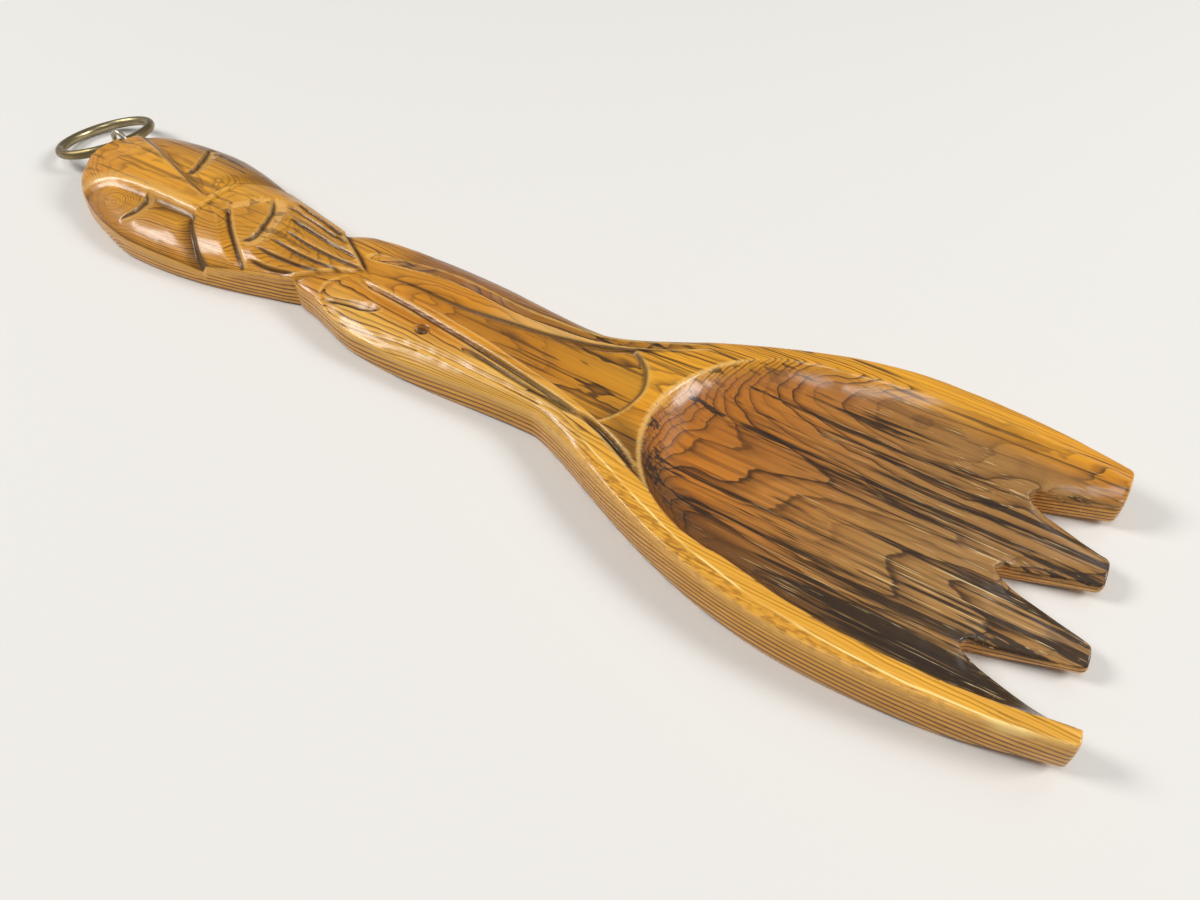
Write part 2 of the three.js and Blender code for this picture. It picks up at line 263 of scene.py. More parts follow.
def head_half(s):
    """Half the head's width: a quarter ellipse from the end to the cheeks, then a power curve to the neck."""
    q = 1 - np.clip(s / HEAD_ROUND, 0, 1)
    up = HEAD_END_WIDTH + (HEAD_WIDTH - HEAD_END_WIDTH) * np.sqrt(1 - q * q)
    q = np.clip((s - HEAD_ROUND) / (NECK_AT - HEAD_ROUND), 0, 1)
    down = HEAD_WIDTH + (NECK_WIDTH - HEAD_WIDTH) * q ** 1.4
    return np.where(s < HEAD_ROUND, up, down) / 2


def handle_half(s):
    """Half the board's width from the neck on: swell, waist and bowl, drawing in again to the tips."""
    q = 1 - np.clip((s - NECK_AT) / SWELL_AT, 0, 1)
    shoulder = NECK_WIDTH + (SWELL_WIDTH - NECK_WIDTH) * (1 - q ** 2.5) ** 0.9
    waist = SWELL_WIDTH + (WAIST_WIDTH - SWELL_WIDTH) * rise(s, SWELL_STATION, WAIST_STATION)
    q = np.clip((s - WAIST_STATION) / (WIDEST_AT - WAIST_STATION), 0, 1)
    bowl = WAIST_WIDTH + (BOWL_WIDTH - WAIST_WIDTH) * rise(q ** 0.72, 0, 1)
    q = np.clip((s - WIDEST_AT) / (BOARD_LENGTH - WIDEST_AT), 0, 1.5)
    tips = BOWL_WIDTH + (TIP_WIDTH - BOWL_WIDTH) * q * q
    before = [s < SWELL_STATION, s < WAIST_STATION, s < WIDEST_AT]
    return np.select(before, [shoulder, waist, bowl], tips) / 2


def board_half(s):
    """Half the width of the whole outline: the head as far as the neck, then the handle, bowl and tines."""
    return np.where(s < NECK_AT, head_half(s), handle_half(s))


def lift(s):
    """How far the back is rounded up off the wall: at the blunt end and at the tips."""
    end = HEAD_END_LIFT * (1 - rise(s, 0, 2 * HEAD_END_LIFT))
    return end + TIP_LIFT * rise(s, ROOT_AT, BOARD_LENGTH)


def neck_slant(s, x):
    """How far the cut of the neck is drawn towards the blunt end, more on the +X side: a hump about the
    neck, as a distance that is less than 0."""
    return -(NECK_DRAWN + NECK_SLOPE * (x - centre(s))) * between(s, SLANT_IN, SLANT_OUT)


def rim_width(s):
    """Width of the bowl's rim, less at the tips."""
    return eased(s, (HOLLOW_CENTRE, RIM_WIDTH), (BOARD_LENGTH, TIP_RIM))


# Height of the carved face

def crown(u, edge, crest, flatness, fall):
    """A crowned section: edge at the sides, crest in the middle, with 1 less a power of the share across,
    itself to the power fall: a half drops steeply at the sides, 1 leaves a slope."""
    return edge + (crest - edge) * (1 - np.clip(np.abs(u), 0, 1) ** flatness) ** fall


def head_crown(s, across):
    """The head before carving."""
    crest = eased(
        s, (0, HEAD_END_CREST), (HEAD_ROUND / 2, HEAD_CREST), (MOUTH_AT, HEAD_CREST),
        (BEARD_TIP_AT, BEARD_CREST),
    )
    edge = eased(
        s, (0, HEAD_END_EDGE), (HEAD_ROUND / 2, HEAD_EDGE), (JAW_AT, HEAD_EDGE), (NECK_AT, NECK_EDGE),
    )
    half = np.maximum(head_half(s), NECK_WIDTH / 2 - 1)
    return crown(across / half, edge, crest, HEAD_FLATNESS, HEAD_FALL)


def handle_crown(s, across):
    """The handle, bowl rim and tines before carving."""
    crest = eased(s, (BEARD_TIP_AT, BEARD_FOOT), (SWELL_STATION, HANDLE_CREST), (BOWL_AT, RIM_HEIGHT))
    edge = eased(
        s, (NECK_AT, SHOULDER_EDGE), (SWELL_STATION, HANDLE_EDGE), (WAIST_STATION, WAIST_EDGE),
        (BOWL_AT + RIM_WIDTH, RIM_EDGE),
    )
    flatness = eased(s, (SWELL_STATION, 2.6), (HOLLOW_CENTRE, 12))
    fall = eased(s, (NECK_AT, 0.6), (SWELL_STATION, 0.8), (HOLLOW_CENTRE, 0.6))
    return crown(across / handle_half(s), edge, crest, flatness, fall)


def hollow(s, across):
    """The bowl: floor plus a power of the distance from its middle line, which is round at the handle's
    end. The far side slopes more gently than the near one."""
    wide = handle_half(np.maximum(s, HOLLOW_CENTRE)) - rim_width(s)
    endward = np.clip((HOLLOW_CENTRE - s) / HOLLOW_ROUND, 0, 2)
    radius = np.hypot(endward, across / wide)
    steepness = np.where(
        across < 0,
        eased(s, (BOWL_AT, 7), (HOLLOW_CENTRE, 13), (ROOT_AT, 12)),
        eased(s, (BOWL_AT, 7), (HOLLOW_CENTRE, 6), (ROOT_AT, 2.5)),
    )
    return BOWL_FLOOR + (RIM_HEIGHT - BOWL_FLOOR) * radius ** steepness


def gouge(s, x, points, depth, near_side, far_side, fade, power=1.0):
    """A cut along a smooth line: its depth falls off to nothing over one width on each side of the line,
    as a power of the share left with the bottom blunted, and swells from nothing at the two ends."""
    inside, away, share = from_line(points, s, x, max(near_side, far_side) + 1)
    width = np.where(away < 0, near_side, far_side)
    swell = np.sqrt(rise(share, 0, fade[0]) * rise(1 - share, 0, fade[1]))
    width = width * (CUT_END + (1 - CUT_END) * swell)
    blunt = np.hypot(away, CUT_BLUNT) - 0.25
    taken = np.zeros_like(s)
    taken[inside] = depth * swell * np.clip(1 - blunt / width, 0, 1) ** power
    return taken


def side_of(s, x, points, reach=400.0):
    """Signed distance from a carved line, for a step in the face along it."""
    inside, away, _ = from_line(points, s, x, reach)
    distance = np.full_like(s, -reach)
    distance[inside] = away
    return distance


# Carved lines: station and place across, measured from the board's middle
BROW_FAR = [(-6, 25), (13, 18), (41, 9), (63, 2), (81, -3)]
BROW_NEAR = [(9, -42), (14, -27), (24, -17.5), (36, -14.5), (56, -13.5), (85, -13.5)]
FOLD_FAR = [(80, -2), (81, 8.5), (85, 17), (90, 21), (98, 25), (107, 30)]
FOLD_NEAR = [(84, -13.3), (88, -19.2), (95, -24.8), (102, -29.6), (114, -34)]
EYE_NEAR = [(51, -13), (53, -19), (53.5, -25.5), (50, -31.6)]
EYE_FAR = [(54, 6.5), (53, 14), (48, 23.5), (41, 33)]
LIP_FAR = [(95, -4), (101, 3.1), (106, 13.5)]
LIP_NEAR = [(95, -4), (106, -13), (117, -20.5), (128, -27.5)]
LIP_LOWER = [(104, 15.5), (114, 5), (119, -5.9), (120, -13.3), (117, -18)]
STRANDS = [
    [(114, 18.5), (128, 17), (150, 12.4)],
    [(113, 12.5), (130, 12.2), (158, 8.6)],
    [(123, 5.6), (140, 4.4), (168, 2.4)],
    [(127, -2), (148, -3.4), (176, -2.4)],
    [(127, -9.6), (146, -10), (168, -7.8)],
    [(124, -16.8), (140, -16), (160, -12.6)],
    [(126, -23), (138, -21.8), (150, -18.6)],
]
BEARD_FAR = [(145.8, 17), (153.4, 11.7), (162.3, 6.4), (168.1, 2.9), (174.7, -1.5)]
CRACK = [(-2, 11), (6, 10), (15, 12)]
LEAF = [(175, -3), (168, -11), (166, -19), (177, -26.5), (197, -31), (213, -30.5)]
CHIP = [(169, -23), (183, -20.8), (190, -20), (198, -17.2)]
KNOT = (220, -18)
KNOT_HALF = (3.0, 2.1)
KNOT_DEPTH = 2.6
GROOVE_MAIN = [
    (176, -6.5), (206, -10.1), (232, -13.2), (250, -15.5), (270, -18.5), (290, -22), (305, -25.2),
]
GROOVE_LOW = [(238, -17.6), (254, -19.2), (269, -21.2), (286, -23), (300, -25)]
GROOVE_END = [(298, -23), (309, -25.5), (318, -28.9), (325, -32.5), (332, -37)]
RIDGE_FAR = [(192, -5), (215, -7), (241, -9.6), (260, -12.7), (285, -17), (304, -22), (311, -25)]
BAND_NEAR = [
    (177, 0), (195, 1.4), (220, 0.8), (234, 2), (249, 3.9), (268, 6.8), (284, 10.8), (300, 18),
    (322, 31.5),
]
BAND_FAR = [
    (168, 8), (180, 10.5), (203, 14.4), (222, 14.4), (245, 12), (264, 13), (282, 14.8), (299, 21),
    (324, 35),
]
PANEL_END = [(297, 19), (306, 12.7), (311, 6.5), (314, -2.4), (312.5, -13.3), (308, -23)]
SHOULDER = [
    (203, -29.6), (227, -26.3), (242, -25.4), (255, -25.9), (267, -25.7), (285, -26.3), (296, -28.4),
    (306, -32),
]


# Cuts: line, depth, width on one side of the line and on the other, share faded at each end. The first
# width is on the -X side of a line that runs to the tines.
SCOOPS = [
    (EYE_NEAR, 2.6, 1.1, 6.0, (0.25, 0.7)),
    (EYE_FAR, 2.4, 5.4, 1.1, (0.25, 0.4)),
    (LIP_FAR, 2.2, 1.1, 5.0, (0.06, 0.3)),
    (LIP_LOWER, 2.4, 1.1, 7.0, (0.15, 0.4)),
]
LIP_CUTS = [(LIP_NEAR, 2.2, 5.5, 1.1, (0.06, 0.35))]
BEARD_CUTS = [(strand, 1.6, 5.0, 0.9, (0.4, 0.08)) for strand in STRANDS[:4]]
BEARD_CUTS += [(strand, 1.5, 4.5, 0.9, (0.4, 0.3)) for strand in STRANDS[4:]]
HANDLE_CUTS = [
    (GROOVE_MAIN, 1.8, 1.8, 1.2, (0.06, 0.1)),
    (GROOVE_LOW, 1.3, 1.8, 1.0, (0.2, 0.2)),
    (GROOVE_END, 2.6, 1.8, 1.3, (0.25, 0.4)),
    (BAND_FAR, 2.3, 1.5, 3.2, (0.05, 0.1)),
    (CHIP, 1.5, 1.2, 4.0, (0.7, 0.25)),
]

# Dark lines painted where shade falls in the cuts: line, how far the dark line lies to its +X side, width
SHADE_LINES = [
    (EYE_NEAR, -0.4, 0.6),
    (EYE_FAR, 0.4, 0.6),
    (LIP_FAR, -0.3, 0.5),
    (LIP_NEAR, -0.7, 0.9),
    (LIP_LOWER, -0.35, 0.55),
    (BEARD_FAR, 0.7, 1.0),
    (BROW_FAR, 0.0, 0.8),
    (FOLD_FAR, 0.0, 0.7),
    (FOLD_NEAR, 0.0, 1.0),
    (PANEL_END, 0.0, 0.9),
    (BAND_NEAR, 0.0, 1.0),
]
SHADE_LINES += [(strand, 0.3, 0.6) for strand in STRANDS]
SHADE_LINES += [(cut[0], 0.0, 1.0) for cut in HANDLE_CUTS]

# Painted highlights, in the same way: a pale band along the wedge's near edge, and the lit slope of the near
# lip
WEDGE_EDGE = [(BROW_NEAR, 3.2, 2.4)]
LIP_EDGE = [(LIP_NEAR, 0.8, 0.6)]


def cut_away(s, x, cuts):
    """All of a list of cuts taken together."""
    return sum(gouge(s, x, *cut) for cut in cuts)


def line_bells(s, x, marks):
    """How close a place is to the nearest of a list of painted lines along the carving, dark as painted shade
    or pale as painted highlight: a bell of the distance from it.
    """
    shade = np.zeros_like(s)
    for points, middle, width in marks:
        inside, away, share = from_line(points, s, x, abs(middle) + 3 * width + 1)
        swell = rise(share, 0, 0.15) * rise(1 - share, 0, 0.12)
        shade[inside] = np.maximum(shade[inside], swell * np.exp(-((away - middle) / width) ** 2))
    return shade


def cheek_sides(s, x):
    """Distances past the wedge's two edges and over the two folds, far then near, growing into the cheeks."""
    past_far = side_of(s, x, BROW_FAR)
    past_near = -side_of(s, x, BROW_NEAR)
    return past_far, past_near, side_of(s, x, FOLD_FAR), -side_of(s, x, FOLD_NEAR)


def let_in(s, past, over, least, at_end, to_nose, by_fold, reach):
    """How deep a cheek is let in: a least depth and the greater of two exponentials, of the distances from
    the wedge and from the fold."""
    by_wedge = (at_end + to_nose * rise(s, *NOSE_IN)) * np.exp(-np.abs(past) / WEDGE_REACH)
    return least + np.maximum(by_wedge, by_fold * np.exp(-np.abs(over) / reach))


def carve_face(s, x):
    """What the knife took from the mask: cheeks let in beside the wedge of forehead and nose and over the
    folds, a muzzle that starts with a step under the nose, eyes, mouth and beard."""
    past_far, past_near, over_far, over_near = cheek_sides(s, x)
    far_cheek = rise(past_far, -0.5, 3.0) * rise(over_far, -0.5, 1.6)
    near_cheek = rise(past_near, -2.6, 3.4) * rise(over_near, -0.5, 1.6)
    taken = far_cheek * let_in(s, past_far, over_far, *FAR_CHEEK)
    taken += near_cheek * let_in(s, past_near, over_near, *NEAR_CHEEK)
    muzzle = (1 - rise(over_far, -1.0, 0.5)) * (1 - rise(over_near, -1.0, 0.5)) * rise(s, *MUZZLE_IN)
    taken += muzzle * 1.3 * np.exp(-np.maximum(s - 83, 0) / 7)
    taken += gouge(s, x, BROW_FAR, 0.9, 1.6, 2.4, (0.02, 0.05))
    taken += gouge(s, x, CRACK, 0.9, 0.7, 0.9, (0.05, 0.6))
    return taken + cut_away(s, x, SCOOPS + LIP_CUTS + BEARD_CUTS)


def cheek_shade(s, x):
    """Painted shade in the cheeks' valleys: bells of the distance from the wedge's edge and from the folds,
    and over the far cheek.
    """
    _, past_near, over_far, over_near = cheek_sides(s, x)
    beside = np.exp(-((past_near - 4) / 3) ** 2) * rise(s, 34, 66) * rise(over_near, 0, 2)
    below = np.exp(-((over_near - 4) / 2.6) ** 2) * rise(s, 68, 80) * rise(past_near, 0, 3)
    far = np.exp(-((over_far - 7) / 5) ** 2) * rise(x, 4, 16)
    return np.maximum(np.maximum(beside, below), 0.8 * far)


def sunk_panel(s, x):
    """1 on the floor of the handle's panel: past the ridge, short of the far band and of the round end."""
    past_ridge = side_of(s, x, RIDGE_FAR)
    past_band = side_of(s, x, BAND_NEAR)
    past_end = np.where(s > PANEL_CLOSES, side_of(s, x, PANEL_END), -50)
    inside = rise(past_ridge, 0, 1.8) * rise(-past_band, -0.4, 1.5) * rise(-past_end, -0.5, 1.2)
    return inside * rise(s, *PANEL_IN)


def far_band(s, x):
    """The band along the panel's far side, 1 on it, and the slope beyond it, 1 past its outer line."""
    past_near = side_of(s, x, BAND_NEAR)
    past_far = side_of(s, x, BAND_FAR)
    along = between(s, BAND_IN, BAND_OUT)
    band = rise(past_near, 0.2, 1.2) * (1 - rise(past_far, -1.0, 0.2)) * along * rise(s, *BAND_RISES)
    return band, rise(past_far, 0, 1.5) * along


def from_knot(s, x):
    """How far a place is from the middle of the knot, squared, in its half lengths along and across."""
    return ((s - KNOT[0]) / KNOT_HALF[0]) ** 2 + ((x - KNOT[1]) / KNOT_HALF[1]) ** 2


def knot(s, x):
    """The knot hole: a flat-topped bell of the distance from its middle, 1 there."""
    return np.exp(-from_knot(s, x) ** 2)


def carve_handle(s, x):
    """What the knife took from the handle: long grooves, a leaf at the neck, a sunk panel with a round
    end between two ridges, a chip, a knot hole, and the slope beyond the near shoulder."""
    taken = sunk_panel(s, x) * (1.0 + 0.7 * rise(s, *PANEL_DEEPENS))
    taken += cut_away(s, x, HANDLE_CUTS)
    taken += gouge(s, x, LEAF, 0.6, 1.0, 4.0, (0.3, 0.4), 1.3)
    beyond = np.clip(-side_of(s, x, SHOULDER), 0, 12)
    taken += 0.12 * beyond * between(s, SHOULDER_IN, SHOULDER_OUT)
    taken += gouge(s, x, SHOULDER, 0.7, 0.6, 3.2, (0.2, 0.2), 1.2)
    return taken + KNOT_DEPTH * knot(s, x)


def in_bowl(s, across, height):
    """How far the bowl has taken over from the face, 0 to 1, over a narrow soft edge."""
    over = (height - hollow(s, across)) / LIP_SOFT
    return np.where(s > BOWL_AT - 6, np.clip(0.5 + over, 0, 1), 0)


def face_height(s, x):
    """Height of the finished face: the head down to the beard's edge, the handle beyond it, the bowl let
    in by the lower of the two with the corner rounded, and the knife's unevenness over all."""
    across = x - centre(s)
    beside = np.where(s < NECK_AT, across, x - NECK_LEAN)
    placed = s + neck_slant(s, x)
    head = head_crown(s, beside) - carve_face(placed, x)
    handle = handle_crown(s, across) - carve_handle(placed, x)
    point = NECK_WIDTH / 2 * (1 - (s - NECK_AT) / BEARD_LENGTH)
    inside_beard = (point - np.abs(beside)) * BEARD_LENGTH / math.hypot(BEARD_LENGTH, NECK_WIDTH / 2)
    on_head = np.where(s < NECK_AT, 1.0, rise(inside_beard, -0.2, 1.0))
    height = handle + np.maximum(head - handle, 0) * on_head
    height = np.where(s < NECK_AT, head, height)
    share = in_bowl(s, across, height)
    height = height + (hollow(s, across) - height) * share - LIP_SOFT / 2 * share * (1 - share)
    for size, *waves in UNEVEN:
        height = height + size * ripples(s, x, *waves)
    return height


# The board as one closed mesh

def arris(s):
    """How far in from the outline the face's rounded edge begins: least at the blunt end and in the neck."""
    return eased(s, *ARRIS)


def stations_down(split_at):
    """Stations of the rows: closest at the eyes and the mouth, wider down the handle and bowl."""
    end = np.linspace(0, 1, END_ROWS) ** 2 * ROW_BANDS[0][0]
    bands = ROW_BANDS + [(ROW_BANDS[-1][1], split_at, BOWL_ROWS)]
    return np.concatenate([end] + [np.linspace(low, high, count + 1)[1:] for low, high, count in bands])


def notch_half(s, split_at):
    """Half a notch's width as the grid leaves it: a round root, then straight sides opening to the tips."""
    run = np.maximum(s - split_at, 0)
    root = NOTCH_ROOT / 2 + arris(s)
    q = 1 - np.clip(run / root, 0, 1)
    return root * np.sqrt(1 - q * q) + (NOTCH_MOUTH - NOTCH_ROOT) / 2 * run / TINE_LENGTH


def eye_slot(x):
    """How far the blunt end is cut back where the screw eye is sunk in it."""
    off = np.abs(x - HEAD_LEAN - EYE_ASIDE)
    return SLOT_DEPTH * (1 - rise(off, 2.5, 4.2))


def strip_sides(s, split_at):
    """The two sides of each strip at the stations s, which are rows by strips by columns. Above the roots
    the strips share the board's width as they do at the roots."""
    half = board_half(s) - arris(s)
    gap = notch_half(s, split_at)
    at_root = np.array(split_at)
    spread = np.where(s < split_at, half / (board_half(at_root) - arris(at_root)), 1)
    notch_at = (np.arange(1, TINES) - TINES / 2)[:, None] * NOTCH_PITCH
    left = np.concatenate([-half[:, :1], notch_at * spread[:, 1:] + gap[:, 1:]], 1)
    right = np.concatenate([notch_at * spread[:, :-1] - gap[:, :-1], half[:, -1:]], 1)
    return left + centre(s), right + centre(s)


def tine_wear(s, x, split_at):
    """How far the tines are worn down beside the notches: the square of the share left of a narrow strip."""
    left, right = strip_sides(s, split_at)
    from_left = np.where(left <= left[:, :1], np.inf, x - left)
    from_right = np.where(right >= right[:, -1:], np.inf, right - x)
    off = np.minimum(from_left, from_right)
    return TINE_WEAR * np.clip(1 - off / WEAR_REACH, 0, 1) ** 2 * rise(s, split_at + 1, split_at + 9)


def board_plan():
    """Stations and places of the face's grid, rows by strips by columns, and the row where the strips
    part. The columns of a strip stand a little closer at its two sides, and its last row follows the
    slanted tip."""
    split_at = ROOT_AT - float(arris(np.array(ROOT_AT)))
    upper = stations_down(split_at)
    lower = (np.linspace(0, 1, TINE_ROWS + 1) ** 1.5)[1:]
    share = np.linspace(0, 1, STRIP_COLUMNS)
    share = share - 0.3 / (2 * math.pi) * np.sin(2 * math.pi * share)
    size = (TINES, len(share))
    tip = BOARD_LENGTH - float(arris(np.array(BOARD_LENGTH)))
    left, right = strip_sides(np.full((1, *size), tip), split_at)
    tip_x = left + share * (right - left)
    corner = np.clip(TIP_CORNER - (right - left) * np.minimum(share, 1 - share), 0, TIP_CORNER)
    worn = TIP_CORNER - np.sqrt(TIP_CORNER ** 2 - corner ** 2)
    tip_s = tip - tip_x * math.tan(TIP_SLOPE) - worn
    s = np.concatenate([
        np.broadcast_to(upper[:, None, None], (len(upper), *size)),
        split_at + lower[:, None, None] * (tip_s - split_at),
    ])
    left, right = strip_sides(s, split_at)
    x = left + share * (right - left)
    s = s + 0.6 * np.clip(1 - s / 10, 0, 1) + eye_slot(x) * np.clip(1 - s / 14, 0, 1)
    return s, x, len(upper) - 1


def edge_loop(number, split_row):
    """The grid's points along its edge, once round: across the blunt end, down the +X side, along each
    tip, in and out of each notch, and back up the other side."""
    loop = [number[0, k, :-1] for k in range(TINES)]
    loop.append(number[:, -1, -1])
    for k in range(TINES - 1, -1, -1):
        loop.append(number[-1, k, -2::-1])
        if k > 0:
            loop.append(number[-2:split_row - 1:-1, k, 0])
            loop.append(number[split_row + 1:, k - 1, -1])
    loop.append(number[-2:0:-1, 0, 0])
    return np.concatenate(loop)


def outward(edge):
    """Unit directions out of the board along its edge: the edge's own direction turned a quarter, then
    evened three times with its neighbours."""
    run = np.roll(edge, -1, 0) - np.roll(edge, 1, 0)
    out = np.column_stack([-run[:, 1], run[:, 0]])
    for _ in range(3):
        out = out / (np.linalg.norm(out, axis=1)[:, None] + 1e-9)
        out = out + 0.5 * (np.roll(out, 1, 0) + np.roll(out, -1, 0))
    return out / np.linalg.norm(out, axis=1)[:, None]


def skirt(edge, slope, out):
    """The board's side, as rows of points under its edge: an arc from the face's own slope round to
    upright, a barely bowed side drawn in under the blunt end, a small round foot, and a flat inner edge
    on the back."""
    station = HEAD_END_Y - edge[:, 1]
    round_in = arris(station)
    begin = np.arctan(np.clip(slope, 0, 1.7))
    left_over = 1 - np.sin(begin)
    back = lift(station)
    room = np.maximum(edge[:, 2] - back - SIDE_LEAST, 0.4)
    steps = []
    heights = []
    for q in np.linspace(0, 1, 5)[1:]:
        turn = begin + (math.pi / 2 - begin) * q
        steps.append(round_in * (np.sin(turn) - np.sin(begin)) / left_over)
        drop = round_in * (np.cos(begin) - np.cos(turn)) / left_over
        heights.append(edge[:, 2] - np.minimum(drop, room * q))
    top = heights[-1]
    foot = back + FOOT_ROUND
    drawn_in = eased(station, (0, HEAD_UNDERCUT), (HEAD_ROUND, 0))
    for q in np.linspace(0, 1, 6)[1:]:
        steps.append(round_in + 0.3 * math.sin(math.pi * q) - drawn_in * float(rise(q, 0.1, 1)))
        heights.append(top + (foot - top) * q)
    for turn in (math.pi / 4, math.pi / 2):
        steps.append(round_in - drawn_in - FOOT_ROUND * (1 - math.cos(turn)))
        heights.append(foot - FOOT_ROUND * math.sin(turn))
    steps.append(round_in - drawn_in - 2 * FOOT_ROUND)
    heights.append(back)
    steps = np.array(steps)[:, :, None]
    plan = edge[None, :, :2] + out[None] * steps
    return np.concatenate([plan, np.array(heights)[:, :, None]], 2)


def cells(number):
    """A face for each cell of a grid of point numbers."""
    corners = [number[:-1, ..., :-1], number[1:, ..., :-1], number[1:, ..., 1:], number[:-1, ..., 1:]]
    return np.stack(corners, -1).reshape(-1, 4)


def rungs(left, right):
    """Faces between each two rows of the points on two sides."""
    return np.column_stack([left[:-1], right[:-1], right[1:], left[1:]]).tolist()


def back_faces(left, right, first, tips, split_row):
    """The flat back: one face from side to side for each row, one for each row of each tine, and the
    faces that take in every point of the blunt end, of the notch roots and of the tips."""
    faces = [[*first, right[1, -1], left[1, 0]]]
    faces += rungs(left[1:split_row, 0], right[1:split_row, -1])
    above = split_row - 1
    faces.append([left[above, 0], right[above, -1], right[split_row, -1], *left[split_row, ::-1]])
    for k in range(TINES):
        faces += rungs(left[split_row:-1, k], right[split_row:-1, k])
        faces.append([left[-2, k], right[-2, k], *tips[k][::-1]])
    return faces


def box_mean(values, reach):
    """Mean over a square of the grid, by running sums, with the edge rows repeated."""
    size = 2 * reach + 1
    for axis in (0, 1):
        pad = [(0, 0), (0, 0)]
        pad[axis] = (reach + 1, reach)
        sums = np.cumsum(np.pad(values, pad, mode="edge"), axis)
        high = np.take(sums, np.arange(size, sums.shape[axis]), axis)
        low = np.take(sums, np.arange(0, sums.shape[axis] - size), axis)
        values = (high - low) / size
    return values


def new_piece(name, points, faces, flat_from=None):
    """A mesh object from points in millimetres: smooth, except for the faces from flat_from on."""
    mesh = bpy.data.meshes.new(name)
    mesh.from_pydata((points * MM).tolist(), [], faces)
    smooth = np.ones(len(faces), dtype=bool)
    if flat_from is not None:
        smooth[flat_from:] = False
    mesh.polygons.foreach_set("use_smooth", smooth)
    mesh.validate()
    mesh.update()
    piece = bpy.data.objects.new(name, mesh)
    bpy.context.collection.objects.link(piece)
    return piece


def paint(piece, name, values):
    """A number at every point of a piece, for its material to read."""
    layer = piece.data.attributes.new(name, "FLOAT", "POINT")
    layer.data.foreach_set("value", np.ascontiguousarray(values, dtype=np.float32))


def board_marks(s, x, z, loop, levels, at_tip):
    """What the wood's material reads, each as a pair: a number over the face and a number down the skirt.
    The painted shade is how far a place lies under the mean of the grid about it, darker in the wide valleys,
    with dark lines painted where shade falls in the cuts, and the knot hole dark. The pale number is how far
    a place lies over that mean, a painted highlight with wear on the raised edges, at the top of the side, on
    the bowl's lip and along the wedge's near edge. Painted light lies on the lit slopes of the cuts and
    painted shade in the cheeks' valleys. The others are shares of the board's parts, and past lip is a
    distance in from the near lip of the bowl."""
    wide = z.reshape(len(z), -1)
    # painted shade: how far the face dips under the mean of the grid about it
    dip = (box_mean(wide, 2) - wide).reshape(s.shape) * (1 - rise(s, 328, 345))
    # painted shade in the wide valleys
    valley = rise((box_mean(wide, 9) - wide).reshape(s.shape), 0.2, 1.3) * (1 - rise(s, 116, 126))
    placed = s + neck_slant(s, x)
    # painted light on the lit slopes of the scooped cuts
    painted_lit_slope = rise(cut_away(placed, x, SCOOPS), 0.1, 0.8)
    shade = 0.25 * rise(dip, 0.03, 0.20) * (1 - rise(s, 178, 196)) + 0.5 * valley * (1 - painted_lit_slope)
    # dark lines painted where shade falls in the cuts, and the knot hole painted dark
    shade = np.clip(shade + line_bells(placed, x, SHADE_LINES) + knot(s, x), 0, 1)
    across = x - centre(s)
    under_rim = RIM_HEIGHT - 0.3 - hollow(s, across)
    sunk = rise(under_rim, 0, np.where(across < 0, 0.9, 5.5)) * rise(s, BOWL_AT - 4, BOWL_AT + 2)
    past_lip = across + handle_half(s) - rim_width(s)
    share = in_bowl(s, across, handle_crown(s, across))
    lip = np.clip(4 * share * (1 - share), 0, 1)
    on_mask = 1 - rise(s, 150, 172)
    # painted highlight with wear: paler where the face stands over the mean about it, at the bowl's lip and
    # along the wedge's near edge
    highlight_and_wear = rise(-dip, 0.02, 0.16) * (1 - 0.5 * on_mask) * rise(from_knot(s, x), 4, 9)
    highlight_and_wear = highlight_and_wear + 0.36 * lip + 0.7 * line_bells(placed, x, WEDGE_EDGE)
    band, beyond = far_band(s, x)
    level = np.linspace(0, 1, levels)[:, None]

    def at_edge(values):
        return values.reshape(-1)[loop]

    return {
        "painted_shade": (shade, 0),
        "highlight_and_wear": (highlight_and_wear, 0.6 * (level < 0.3) * (1 - at_edge(sunk))),
        "painted_lit_slope": (np.maximum(painted_lit_slope, line_bells(placed, x, LIP_EDGE)), 0),
        "valley_shade": (cheek_shade(placed, x), 0),
        "band": (band, 0),
        "far slope": (beyond, at_edge(beyond)),
        "bowl": (sunk, at_edge(sunk)),
        "past lip": (past_lip, at_edge(past_lip)),
        "panel": (sunk_panel(s, x), 0),
        "side": (np.zeros_like(s), rise(level, 0.2, 0.45)),
        "end grain": (np.zeros_like(s), at_tip * rise(level, 0.1, 0.3)),
    }


